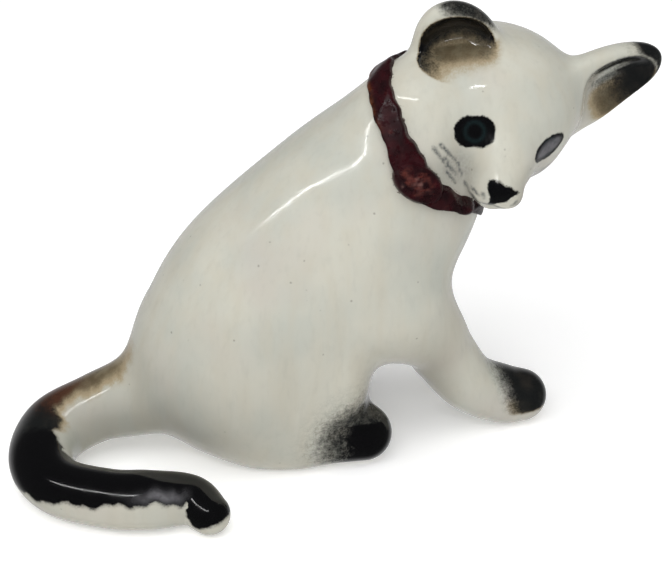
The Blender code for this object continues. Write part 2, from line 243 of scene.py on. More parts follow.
def ear_field(p, side):
    q = EAR_PLACES[side].into(p)
    lobe = smooth_max(ellipsoid(q, (0, 0, EAR_RISE), EARS[side][3]), q[:, 0] - EAR_FRONT, EAR_EDGE_ROUNDING)
    return smooth_max(lobe, -ear_cup_field(p, side), CUP_ROUNDING)


def vent_field(p):
    wall = np.hypot(p[:, 0] - VENT_AT[0], p[:, 1] - VENT_AT[1]) - VENT_RADIUS
    return np.maximum(wall, p[:, 2] - VENT_DEPTH)


def kitten_field(p):
    d = trunk_field(p)
    for name, blend in LIMB_BLENDS.items():
        d = smooth_min(d, limb(p, LIMBS[name]), blend)
    d = smooth_min(d, head_field(p), HEAD_BLEND)
    for side in EARS:
        d = smooth_min(d, ear_field(p, side), EAR_BLEND)
    d = smooth_max(d, -vent_field(p), VENT_ROUNDING)
    return smooth_max(d, -p[:, 2], FOOT_ROUNDING)


# ---------------------------------------------------------------- from field to mesh
CELL_CORNERS = np.array([(i, j, k) for i in (0, 1) for j in (0, 1) for k in (0, 1)])


def in_chunks(field, points, size=200000):
    """A field's values, worked out for a part of the points at a time to save memory."""
    return np.concatenate([field(points[i:i + size]) for i in range(0, len(points), size)])


def slope(field, points, reach=0.03):
    """Gradient of a field, from four samples round each point."""
    corners = np.array([(1, 1, 1), (1, -1, -1), (-1, 1, -1), (-1, -1, 1)], float)
    return sum(c * in_chunks(field, points + c * reach)[:, None] for c in corners) / (4 * reach)


def surface_cells(field, low, high, step, levels=3):
    """Grid cells that the surface passes through, found from coarse to fine."""
    size = step * 2 ** levels
    counts = np.ceil((high - low) / size).astype(int)
    cells = np.stack(np.meshgrid(*map(np.arange, counts), indexing="ij"), -1).reshape(-1, 3)
    for level in range(levels + 1):
        size = step * 2 ** (levels - level)
        cells = cells[np.abs(in_chunks(field, low + (cells + 0.5) * size)) < size * 1.25 + 0.1]
        if level < levels:
            cells = (cells[:, None] * 2 + CELL_CORNERS).reshape(-1, 3)
    return cells


def mesh_field(field, low, high, step):
    """Surface nets over the cells that hold the surface, then each point moved onto it."""
    low, high = np.array(low, float), np.array(high, float)
    cells = surface_cells(field, low, high, step)
    span = int(cells.max()) + 3

    def code(c):
        return (c[..., 0] * span + c[..., 1]) * span + c[..., 2]

    corners = (cells[:, None] + CELL_CORNERS).reshape(-1, 3)
    keys, first, inverse = np.unique(code(corners), return_index=True, return_inverse=True)
    values = in_chunks(field, low + corners[first] * step)[inverse.ravel()].reshape(-1, 8)
    crossed = (values.min(1) < 0) & (values.max(1) >= 0)
    cells, values = cells[crossed], values[crossed]
    total, hits = np.zeros((len(cells), 3)), np.zeros(len(cells))
    for i, a in enumerate(CELL_CORNERS):
        for j, b in enumerate(CELL_CORNERS):
            if (b >= a).all() and (b - a).sum() == 1:
                cross = (values[:, i] < 0) != (values[:, j] < 0)
                t = np.where(cross, values[:, i] / np.where(cross, values[:, i] - values[:, j], 1), 0)
                total += (a + t[:, None] * (b - a)) * cross[:, None]
                hits += cross
    points = low + (cells + total / hits[:, None]) * step
    order = np.argsort(code(cells))
    sorted_codes = code(cells)[order]

    def number(c):
        at = np.minimum(np.searchsorted(sorted_codes, code(c)), len(order) - 1)
        return np.where(sorted_codes[at] == code(c), order[at], -1)

    quads = []
    for axis in range(3):
        u, v = np.eye(3, dtype=int)[[(axis + 1) % 3, (axis + 2) % 3]]
        end = {0: 4, 1: 2, 2: 1}[axis]
        start_in, end_in = values[:, 0] < 0, values[:, end] < 0
        for outward in (True, False):
            edge = (start_in & ~end_in) if outward else (~start_in & end_in)
            at = cells[edge]
            quad = np.stack([number(at), number(at - u), number(at - u - v), number(at - v)], 1)
            quads.append(quad if outward else quad[:, ::-1])
    quads = np.vstack(quads)
    quads = quads[(quads >= 0).all(1)]
    for _ in range(2):
        value, grad = in_chunks(field, points), slope(field, points)
        move = -(value / np.maximum((grad ** 2).sum(1), 0.1))[:, None] * grad
        length = np.linalg.norm(move, axis=1, keepdims=True)
        points = points + move * np.minimum(1, 0.6 * step / np.maximum(length, 1e-9))
    diagonal = np.linalg.norm(points[quads[:, 0]] - points[quads[:, 2]], axis=1)
    other = np.linalg.norm(points[quads[:, 1]] - points[quads[:, 3]], axis=1)
    turned = np.where((diagonal > other)[:, None], np.roll(quads, -1, axis=1), quads)
    return points, np.vstack([turned[:, [0, 1, 2]], turned[:, [0, 2, 3]]])


def drop_unused(points, triangles):
    """The same mesh without the points that no triangle uses."""
    used, packed = np.unique(triangles, return_inverse=True)
    return points[used], packed.reshape(-1, 3)


def part_mesh(points, triangles, side):
    """Cut a triangle mesh where side (a number at each point) is zero; (below, above) meshes."""
    side = np.where(np.abs(side) < 1e-6, 1e-6, side)
    below = side[triangles] < 0
    count = below.sum(1)
    extra, made = [], {}
    out = {True: [triangles[count == 3]], False: [triangles[count == 0]]}

    def crossing(a, b):
        key = (min(a, b), max(a, b))
        if key not in made:
            t = side[a] / (side[a] - side[b])
            made[key] = len(points) + len(extra)
            extra.append(points[a] + t * (points[b] - points[a]))
        return made[key]

    mixed = {True: [], False: []}
    for tri, flags in zip(triangles[(count > 0) & (count < 3)], below[(count > 0) & (count < 3)]):
        alone = bool(flags.sum() == 1)
        first = int(np.argmax(flags == alone))
        a, b, c = (int(tri[(first + i) % 3]) for i in range(3))
        ab, ac = crossing(a, b), crossing(a, c)
        mixed[alone].append((a, ab, ac))
        mixed[not alone] += [(ab, b, c), (ab, c, ac)]
    points = np.vstack([points, extra]) if extra else points
    parts = []
    for key in (True, False):
        faces = np.vstack(out[key] + ([np.array(mixed[key])] if mixed[key] else []))
        parts.append(drop_unused(points, faces))
    return parts


def close_mesh(points, triangles):
    """Close each open rim with a fan of triangles to its middle."""
    edges = np.vstack([triangles[:, [0, 1]], triangles[:, [1, 2]], triangles[:, [2, 0]]])
    keys = np.sort(edges, 1)
    _, first, counts = np.unique(keys, axis=0, return_index=True, return_counts=True)
    rim = edges[first[counts == 1]]
    if not len(rim):
        return points, triangles
    following = {int(a): int(b) for a, b in rim}
    fans, centres = [], []
    while following:
        loop = [next(iter(following))]
        while loop[-1] in following:
            loop.append(following.pop(loop[-1]))
        middle = len(points) + len(centres)
        centres.append(points[loop].mean(0))
        fans += [(b, a, middle) for a, b in zip(loop[:-1], loop[1:])]
    return np.vstack([points, centres]), np.vstack([triangles, fans])


# ---------------------------------------------------------------- ribbon round the neck
NECK = np.array(NECK_AXIS) / np.linalg.norm(NECK_AXIS)
NAPE = np.array((0, 0, 1)) - NECK * NECK[2]
NAPE /= np.linalg.norm(NAPE)
NECK_RIGHT = np.cross(NECK, NAPE)
NECK_REACH = 15.0

# angle from the nape towards the cat's right, then how far the upper and lower edges lie along the neck
COLLAR_EDGES = [(-180, 1.0, -0.6), (-120, 1.2, -1.4), (-60, 1.6, -1.6), (0, 1.2, -1.9), (36, 1.0, -2.0),
                (60, 0.8, -1.8), (85, 0.7, -2.3), (104, 0.6, -2.6), (122, 0.6, -1.4), (137, 0.9, -0.1),
                (160, 1.3, 0.2), (180, 1.0, -0.6)]
COLLAR_RISE, RIBBON_DEPTH, RIBBON_ROUNDING = 0.75, 0.4, 0.5

# bow: angle round the neck, place along it, half-sizes (round the neck, along it, out), lean, rise
BOW = {"bow_loop_right": (106, -1.2, (3.2, 2.1, 2.0), 16, 1.15),
       "bow_knot": (146, 0.5, (1.6, 0.9, 1.4), 10, 1.0),
       "bow_loop_left": (222, -1.2, (3.2, 2.0, 2.0), -16, 1.1)}


def round_neck(p):
    """Angle from the nape in degrees (towards the cat's right), place along the neck, distance from it."""
    q = p - np.array(NECK_POINT)
    across, up = q @ NECK_RIGHT, q @ NAPE
    return np.degrees(np.arctan2(across, up)), q @ NECK, np.hypot(across, up)


def collar_edges(angle):
    """Places along the neck of the collar's upper and lower edge, a little wavy."""
    stations = np.array(COLLAR_EDGES)
    upper = np.interp(angle, stations[:, 0], stations[:, 1])
    lower = np.interp(angle, stations[:, 0], stations[:, 2])
    waver = 0.10 * np.sin(np.radians(angle * 9)) + 0.07 * np.sin(np.radians(angle * 23 + 40))
    return upper + waver, lower - waver * 0.8


def beyond_collar(p):
    """How far outside the collar's two edges, in mm; negative on the collar."""
    angle, along, reach = round_neck(p)
    upper, lower = collar_edges(angle)
    return np.maximum(np.maximum(along - upper, lower - along), reach - NECK_REACH)


def ribbon_layer(p, edge, rise):
    """A layer that stands proud of the china by rise and ends where edge is zero."""
    skin = kitten_field(p)
    layer = smooth_max(skin - rise, edge, RIBBON_ROUNDING)
    return np.maximum(layer, -skin - RIBBON_DEPTH)


def collar_field(p):
    angle, along, _ = round_neck(p)
    folds = 0.12 * np.sin(np.radians(angle * 11) + along * 1.5) + 0.1 * np.sin(np.radians(angle * 5) + 1)
    thinner = 1 - 0.45 * ramp(np.abs(angle), 130, 160) - 0.35 * ramp(-np.abs(angle), -45, -10)
    return ribbon_layer(p, beyond_collar(p), (COLLAR_RISE + folds) * thinner)


def on_neck(angle, along):
    """The point of the china's skin at an angle round the neck, and the outward line there."""
    out = NAPE * cos(radians(angle)) + NECK_RIGHT * sin(radians(angle))
    reach = 8.0
    for _ in range(12):
        point = np.array(NECK_POINT) + NECK * along + out * reach
        reach -= float(kitten_field(point[None])[0])
    return point, out


def bow_frame(name):
    angle, along, radii, lean, rise = BOW[name]
    centre, out = on_neck(angle, along)
    round_way = np.cross(NECK, out)
    tilt = np.array(Matrix.Rotation(radians(lean), 3, Vector(out))) @ np.stack([round_way, NECK, out], 1)
    return centre, np.array(radii), tilt, rise


def bow_edge(p, name):
    centre, radii, tilt, _ = BOW_FRAMES[name]
    return ellipsoid(p, centre, radii, tilt)


BOW_FRAMES = {name: bow_frame(name) for name in BOW}


def bow_field(p, name):
    edge = bow_edge(p, name)
    angle, along, _ = round_neck(p)
    folds = 0.16 * np.sin(np.radians(angle * 14) - along * 2.2)
    return ribbon_layer(p, edge, BOW_FRAMES[name][3] + folds)


# ---------------------------------------------------------------- painting, as numbers at each point
# eyes, in the head's frame: middle, facing, half-sizes (across, up), tilt, how far the corners stand out
EYES = [((7.57, -4.28, 0.58), (0.87, -0.33, 0.37), (2.4, 1.85), 25, 0.1),
        ((6.63, 5.03, 0.54), (0.75, 0.63, 0.19), (2.7, 1.35), 24, 0.0)]
# nose, mouth and whisker marks, seen from the front of the head (to the cat's left, up)
NOSE_OUTLINE = [(-1.9, -2.9), (-1.8, -3.9), (-1.1, -4.9), (-0.9, -5.8), (-0.2, -5.5),
                (0.8, -4.7), (1.2, -3.9), (2.1, -3.5), (0.5, -2.8), (-1.2, -2.6)]
MOUTH_STROKES = [((-0.6, -5.7), (-2.2, -6.2)), ((-0.5, -5.7), (1.2, -6.0))]
WHISKER_STROKES = [((-8.2, -2.3), (-6.1, -3.8)), ((-6.1, -3.8), (-5.2, -4.3)), ((-7.5, -1.8), (-4.8, -3.4)),
                   ((-4.8, -3.4), (-4.0, -4.5)), ((-6.6, -3.1), (-4.6, -4.7)), ((-5.9, -4.4), (-4.3, -5.6)),
                   ((-2.9, -4.8), (-2.3, -5.0)), ((-2.7, -5.6), (-2.1, -5.9)), ((-2.0, -4.6), (-1.7, -5.1)),
                   ((-3.3, -5.2), (-3.1, -5.6))]
OUTSIDE = -9.0          # ink depth where no ink can be
STROKE_WIDTH, EYE_REACH = 0.36, 5
IRIS_RADIUS, IRIS_WIDTH = 1.05, 0.22


def ramp(x, low, high):
    """0 below low, 1 above high, and a soft step between."""
    t = np.clip((x - low) / (high - low), 0, 1)
    return t * t * (3 - 2 * t)


def oval_depth(points, half_sizes, tilt, corners):
    """How far each 2-D point lies inside an oval with soft corners; negative outside."""
    turned = points @ turn("Z", tilt)[:2, :2]
    angle = np.arctan2(turned[:, 1], turned[:, 0])
    return -corners * np.cos(4 * angle) - ellipsoid(turned, (0, 0), half_sizes)


def outline_depth(points, corners):
    """How far each 2-D point lies inside a closed outline; negative outside."""
    best, inside = np.full(len(points), 1e9), np.zeros(len(points), bool)
    for a, b in zip(corners, np.roll(corners, -1, axis=0)):
        edge, to = b - a, points - a
        t = np.clip(to @ edge / (edge @ edge), 0, 1)
        best = np.minimum(best, np.linalg.norm(to - t[:, None] * edge, axis=1))
        spans = (a[1] > points[:, 1]) != (b[1] > points[:, 1])
        rise = edge[1] if abs(edge[1]) > 1e-9 else 1e-9
        inside ^= spans & (a[0] + edge[0] * (points[:, 1] - a[1]) / rise > points[:, 0])
    return np.where(inside, best, -best)


def dab(paint, name, amount):
    """Lay a paint on where it is stronger than what lies there already."""
    paint[name] = np.maximum(paint[name], amount)


def stroke_depth(points, start, end):
    """How far each 2-D point lies inside a brush stroke that thins towards its end."""
    start, end = np.array(start, float), np.array(end, float)
    along = end - start
    t = np.clip((points - start) @ along / (along @ along), 0, 1)
    return STROKE_WIDTH * (1 - 0.5 * t) / 2 - np.linalg.norm(points - start - t[:, None] * along, axis=1)


def paint_eyes(q, paint):
    """Black ovals with a dark iris ring; the left one is pale grey, a painted reflection of the bright
    surroundings in its glaze.
    """
    for middle, facing, *oval in EYES:
        out = np.array(facing) / np.linalg.norm(facing)
        up = np.array((0, 0, 1)) - out * out[2]
        up /= np.linalg.norm(up)
        spread = q - np.array(middle)
        flat = np.stack([spread @ np.cross(up, out), spread @ up], 1)
        near = np.linalg.norm(spread, axis=1) < EYE_REACH
        depth = np.where(near, oval_depth(flat, *oval), OUTSIDE)
        dab(paint, "ink", depth)
        ring = np.exp(-((np.linalg.norm(flat, axis=1) - IRIS_RADIUS) / IRIS_WIDTH) ** 2) * ramp(depth, 0, 0.3)
        dab(paint, "iris", ring)
        # painted reflection: the left eye's glaze mirrors the pale surroundings, painted in as pale grey
        if middle[1] > 0:
            dab(paint, "pale", ramp(depth, 0.15, 1.0))


def paint_face(q, paint):
    """Nose, mouth, whisker marks on both cheeks, the grey round them, and a darker patch on each cheek that
    stands for both grime and shade.
    """
    front = q[:, 0] > 3
    flat = q[:, 1:]
    nose = np.where(q[:, 0] > 9, outline_depth(flat, np.array(NOSE_OUTLINE)), OUTSIDE)
    dab(paint, "ink", nose)
    for start, end in MOUTH_STROKES:
        depth = np.where(front, stroke_depth(flat, start, end), OUTSIDE)
        dab(paint, "stroke", 0.8 * ramp(depth, -0.15, 0.1))
    for start, end in WHISKER_STROKES:
        for hand in (1, -1):
            depth = np.where(front, stroke_depth(flat * (hand, 1), start, end), OUTSIDE)
            dab(paint, "stroke", 0.85 * ramp(depth, -0.2, 0.12))
    for hand in (1, -1):
        patch = np.hypot(flat[:, 0] * hand + 4.9, flat[:, 1] + 3.9)
        dab(paint, "stroke", np.where(front, 0.3 * ramp(-patch, -2.8, -0.5), 0))
        # darker patch on the cheek: painted shade and grime together
        dab(paint, "shade", np.where(front, 0.5 * ramp(-patch, -5.0, -1.5), 0))


def paint_ears(p, paint):
    """Black under each rim, partly painted shade of the rolled rim, running down into brown that fades over
    the forehead, a painted highlight line in the left cup, and a brushed tip.
    """
    for side, place in EAR_PLACES.items():
        q = place.into(p)
        x, y, z = q.T
        inner = ellipsoid(q, EARS[side][4], EARS[side][5])
        cup = ramp(-inner, -0.5, 0.0) * (z > 0)
        rise = (z - EAR_RISE) / EARS[side][3][2]
        outside = (1 - cup) * ramp(1.2 - np.abs(ear_field(p, side)), 0, 0.6)
        if side == "right":
            arch = z + 0.12 * (y - 0.2) ** 2
            smoke = cup * ramp(z, 2.5, 5.0) * (0.3 + 0.7 * ramp(arch, 3.2, 6.2))
            apron = ramp(x, -0.5, 0.6) * ramp(-np.abs(y - 0.8), -5.0, -2.6) * ramp(-x, -5.0, -1.8)
            brown = np.maximum(cup * ramp(z, 2.2, 5.0), apron * ramp(z, 1.4, 4.2) * ramp(-z, -4.8, -3.8))
            tip = outside * ramp(rise + 0.1 * y, 0.7, 1.05) * 0.95
            # black under the right ear's rim arch: black paint that also stands for the shade under the
            # rolled rim
            dab(paint, "ink", np.where(cup > 0.5, 0.5 * (arch - 6.2), OUTSIDE))
        else:
            # black groove under the left ear's upper rim: black paint and painted shade of the rim together
            groove = ramp(-y, 0.2, 1.8) * ramp(z, 2.6, 5.5) * ramp(-inner, -0.4, 0.0)
            # a lighter line across the left cup, with less smoke over it: a painted highlight
            painted_highlight_line = ramp(-np.abs(y + 0.4 + 0.05 * z), -0.7, -0.2) * ramp(z, 3.0, 5.0) * ramp(-z, -9.5, -8.0)
            grey = 0.62 + 0.38 * ramp(z, 5.0, 9.0) - 0.3 * painted_highlight_line
            grey -= 0.3 * ramp(y, 0.6, 2.2) * ramp(-z, -7.0, -4.0)
            smoke = cup * np.maximum(np.maximum(groove, grey * ramp(z, 1.6, 5.0)), ramp(z, 8.0, 9.6))
            brown = cup * ramp(z, 0.9, 4.6) * ramp(y, -0.2, 2.4)
            tip = outside * (ramp(rise, 0.68, 0.88) + 0.4 * ramp(rise, 0.4, 0.8) * ramp(-y, 0.8, 2.6))
        dab(paint, "smoke", np.maximum(smoke, 0.92 * tip))
        dab(paint, "brown", brown)


def paint_paws(p, paint):
    """Black socks that thin out up the legs, brown at the right foreleg's edge, painted shade in the hollow
    between the legs, and darker towards the rump.
    """
    x, y, z = p.T
    right = (y < 0.6) & (x > 18) & (z < 12)
    sock = x - (25.5 - 0.34 * z)
    dab(paint, "smoke", right * ramp(sock, -1.9, 2.0) * ramp(z, 2.0, 2.9) * 0.96)
    dab(paint, "brown", right * ramp(sock, -1.3, 0.8) * ramp(z, 1.9, 2.8) * ramp(-z, -6.0, -3.6) * 0.5)
    left = (y > 0.6) & (x > 15) & (z < 10)
    sock = x - (19.6 - 0.2 * z)
    dab(paint, "smoke", left * ramp(sock, -2.0, 2.0) * ramp(z, 1.4, 2.2) * ramp(-z, -8.5, -5.5))
    # painted shade under the belly, between the legs
    dab(paint, "shade", ramp(-np.abs(x - 11), -9, -2) * ramp(-z, -22, -10) * ramp(z, 2, 6))
    # darker towards the rump and lower down
    dab(paint, "shade", 0.3 * ramp(-x, -6, 8) * ramp(-z, -26, -10))
    for hand in (1, -1):
        hind = (y * hand < -2.5) & (x > -10) & (x < 11.5) & (z < 18)
        away = np.linalg.norm(p - np.array((5.2, -9.2 * hand, 4.6)), axis=1)
        stain = 0.2 * ramp(-away, -11.5, -7) + 0.62 * ramp(-away, -7.8, -3.0)
        dab(paint, "smoke", hind * stain * ramp(z, 0.2, 1.2))
        core = np.minimum(np.minimum(0.16 * (x - 3.2), 7.2 - 0.2 * x - z), z - 0.5)
        dab(paint, "ink", np.where(hind, core, OUTSIDE))


# tail paint: place along the path (0 root, 1 tip), which way the dark side faces, half its spread in degrees
TAIL_PAINT = [(0.0, (0, 0.7, 0.7), 72), (0.3, (0, 0.7, 0.7), 72), (0.42, (-0.3, 0.6, 0.75), 66),
              (0.5, (-0.6, 0.3, 0.8), 74), (0.6, (-0.3, 0.3, 0.9), 84), (0.7, (0, 0.5, 0.87), 92),
              (0.9, (0.1, 0.5, 0.87), 94), (1.0, (-0.3, 0.2, 0.9), 98)]


def paint_tail(p, paint):
    """A dark back that leaves the foot white, brown and russet at the root, worn pale near the tip."""
    place, _ = TAIL_PATH.nearest(p)
    axis = TAIL_PATH.at(place)
    spoke = p - axis[:, :3]
    best = np.linalg.norm(spoke, axis=1)
    place = place / TAIL_PATH.spans
    stations = np.array([station[0] for station in TAIL_PAINT])
    facing = np.stack([np.interp(place, stations, [s[1][i] for s in TAIL_PAINT]) for i in range(3)], 1)
    facing /= np.linalg.norm(facing, axis=1, keepdims=True)
    spread = np.radians(np.interp(place, stations, [s[2] for s in TAIL_PAINT]))
    lean = np.arccos(np.clip((spoke * facing).sum(1) / np.maximum(best, 1e-6), -1, 1))
    waver = 0.22 * np.sin(place * 70) + 0.16 * np.sin(place * 173 + 1)
    depth = (spread - lean) * best + waver
    near = (best < 7) & (p[:, 0] < -13 + 3 * (p[:, 1] < -12))
    dark = ramp(place, 0.22, 0.43) * ramp(depth, -0.7, 0.5)
    fade = ramp(-p[:, 0], 14.8, 25) * ramp(-p[:, 2], -17.5, -12.5) * ramp(-place, -0.46, -0.38)
    dab(paint, "smoke", near * dark)
    dab(paint, "brown", near * fade * ramp(depth, -2.0, 1.6))
    russet = ramp(place, 0.13, 0.32) * ramp(-place, -0.52, -0.42) * ramp(depth, -0.6, 1.4)
    dab(paint, "russet", near * russet)
    smear = np.exp(-((place - 0.80) / 0.05) ** 2 - ((depth - 0.8) / 0.6) ** 2)
    dab(paint, "pale", 0.9 * near * smear)
    dab(paint, "ink", np.where(near, np.minimum(depth, (place - 0.42) * 12), OUTSIDE))


CHINA_PAINTS = ("smoke", "brown", "russet", "iris", "stroke", "pale", "shade")


def paint_china(p):
    """How much of each paint lies at each point of the china, and how deep inside a crisp black edge."""
    paint = {name: np.zeros(len(p)) for name in CHINA_PAINTS}
    paint["ink"] = np.full(len(p), OUTSIDE)
    q = HEAD.into(p)
    on_head = (p - np.array(NECK_POINT)) @ NECK > -0.5
    face = {name: values[on_head].copy() for name, values in paint.items()}
    paint_eyes(q[on_head], face)
    paint_face(q[on_head], face)
    paint_ears(p[on_head], face)
    for name in paint:
        paint[name][on_head] = face[name]
    low = ~on_head
    rest = {name: values[low].copy() for name, values in paint.items()}
    paint_paws(p[low], rest)
    paint_tail(p[low], rest)
    for name in paint:
        paint[name][low] = rest[name]
    spill = beyond_collar(p)
    for name in BOW:
        spill = np.minimum(spill, bow_edge(p, name))
    paint["spill"] = np.clip(1 - spill / 1.2, 0, 1)
    paint["ink"] = np.clip(paint["ink"], -2, 2)
    return paint


def paint_ribbon(p):
    """How rusty, how much of a bow lobe and how proud of the china each point of the ribbon is."""
    angle, along, _ = round_neck(p)
    upper, lower = collar_edges(angle)
    low_edge = ramp(-(along - lower), -0.9, 0.1) * ramp(-np.abs(angle - 15), -60, -5)
    lobe = np.maximum(*[ramp(-bow_edge(p, name), -0.1, 0.7) for name in ("bow_loop_right", "bow_knot")])
    return {"rust": low_edge, "lobe": lobe, "height": np.clip(kitten_field(p) / 1.5, 0, 1)}


# ---------------------------------------------------------------- node materials
RANGE_SOCKETS = ("From Min", "From Max", "To Min", "To Max")


class Nodes:
    """A small helper that makes and links shader nodes."""

    def __init__(self, name):
        self.material = bpy.data.materials.new(name)
        self.material.use_nodes = True
        self.tree = self.material.node_tree
        self.shader = self.tree.nodes["Principled BSDF"]
        self.place = self.new("ShaderNodeTexCoord").outputs["Object"]

    def new(self, kind, **values):
        node = self.tree.nodes.new(kind)
        for key, value in values.items():
            setattr(node, key, value)
        return node

    def feed(self, socket, value):
        if isinstance(value, bpy.types.NodeSocket):
            self.tree.links.new(value, socket)
        else:
            socket.default_value = value

    def maths(self, operation, a, b):
        node = self.new("ShaderNodeMath", operation=operation)
        self.feed(node.inputs[0], a)
        self.feed(node.inputs[1], b)
        return node.outputs[0]

    def in_mm(self, stretch=(1, 1, 1)):
        """The object's coordinates in millimetres, stretched along its axes."""
        mapping = self.new("ShaderNodeMapping")
        self.feed(mapping.inputs["Vector"], self.place)
        mapping.inputs["Scale"].default_value = [s / MM for s in stretch]
        return mapping.outputs[0]

    def noise(self, per_mm, detail=2.0, stretch=(1, 1, 1)):
        node = self.new("ShaderNodeTexNoise")
        self.feed(node.inputs["Vector"], self.in_mm(stretch))
        node.inputs["Scale"].default_value = per_mm
        node.inputs["Detail"].default_value = detail
        return node.outputs["Fac"]

    def cells(self, per_mm):
        """Scattered cells: the distance from each one's middle, and a colour of its own."""
        node = self.new("ShaderNodeTexVoronoi")
        self.feed(node.inputs["Vector"], self.in_mm())
        node.inputs["Scale"].default_value = per_mm
        return node.outputs["Distance"], node.outputs["Color"]

    def painted(self, name):
        """One of the paints stored at the points of the mesh."""
        return self.new("ShaderNodeAttribute", attribute_name=name).outputs["Fac"]

    def spread(self, value, low, high, to_low=0.0, to_high=1.0):
        """A soft step from to_low to to_high as the value goes from low to high."""
        node = self.new("ShaderNodeMapRange", interpolation_type="SMOOTHSTEP")
        self.feed(node.inputs["Value"], value)
        for key, number in zip(RANGE_SOCKETS, (low, high, to_low, to_high)):
            node.inputs[key].default_value = number
        return node.outputs[0]

    def mix(self, amount, a, b):
        node = self.new("ShaderNodeMix", data_type="RGBA")
        self.feed(node.inputs[0], amount)
        for socket, value in ((node.inputs[6], a), (node.inputs[7], b)):
            self.feed(socket, value if isinstance(value, bpy.types.NodeSocket) else (*value, 1))
        return node.outputs[2]

    def over(self, colour, mask, strength, paint):
        """A paint laid over a colour as strongly as the mask says."""
        return self.mix(self.maths("MULTIPLY", mask, strength), colour, paint)

    def bump(self, height, distance_mm, below=None):
        node = self.new("ShaderNodeBump")
        node.inputs["Strength"].default_value = 1.0
        node.inputs["Distance"].default_value = distance_mm * MM
        self.feed(node.inputs["Height"], height)
        if below:
            self.feed(node.inputs["Normal"], below)
        return node.outputs[0]


CHINA, CHINA_COOL, CHINA_WARM = (0.60, 0.59, 0.51), (0.52, 0.53, 0.47), (0.55, 0.51, 0.41)
FLUSH, GRIME, SPECK, SHADE = (0.55, 0.51, 0.46), (0.33, 0.33, 0.29), (0.12, 0.11, 0.09), (0.30, 0.28, 0.23)
SOOT, WARM_SOOT, IRIS = (0.008, 0.009, 0.009), (0.022, 0.020, 0.017), (0.006, 0.013, 0.014)
# the pale grey ink here stands for worn paint on the tail and for a painted reflection on the left eye
INK, RUBBED_AND_REFLECTING_INK, BRISTLE_INK = (0.0015, 0.0015, 0.002), (0.155, 0.152, 0.162), (0.035, 0.045, 0.055)
TAN, UMBER, BROWN = (0.37, 0.30, 0.19), (0.18, 0.15, 0.095), (0.11, 0.085, 0.05)
RUSSET = (0.070, 0.028, 0.015)
MAROON, DEEP_MAROON, ROSE = (0.030, 0.004, 0.006), (0.012, 0.003, 0.004), (0.125, 0.032, 0.024)
RUST, WORN_ENAMEL = (0.17, 0.055, 0.015), (0.30, 0.15, 0.13)
FLOOR_TONES, WHITE = ((0.93, 0.93, 0.935), (0.96, 0.96, 0.96)), (1, 1, 1, 1)
# the floor's own glow: metres from the figure where it starts and stops growing, strengths there
FLOOR_GLOW = (0.3, 1.2, 0.3, 1.0)


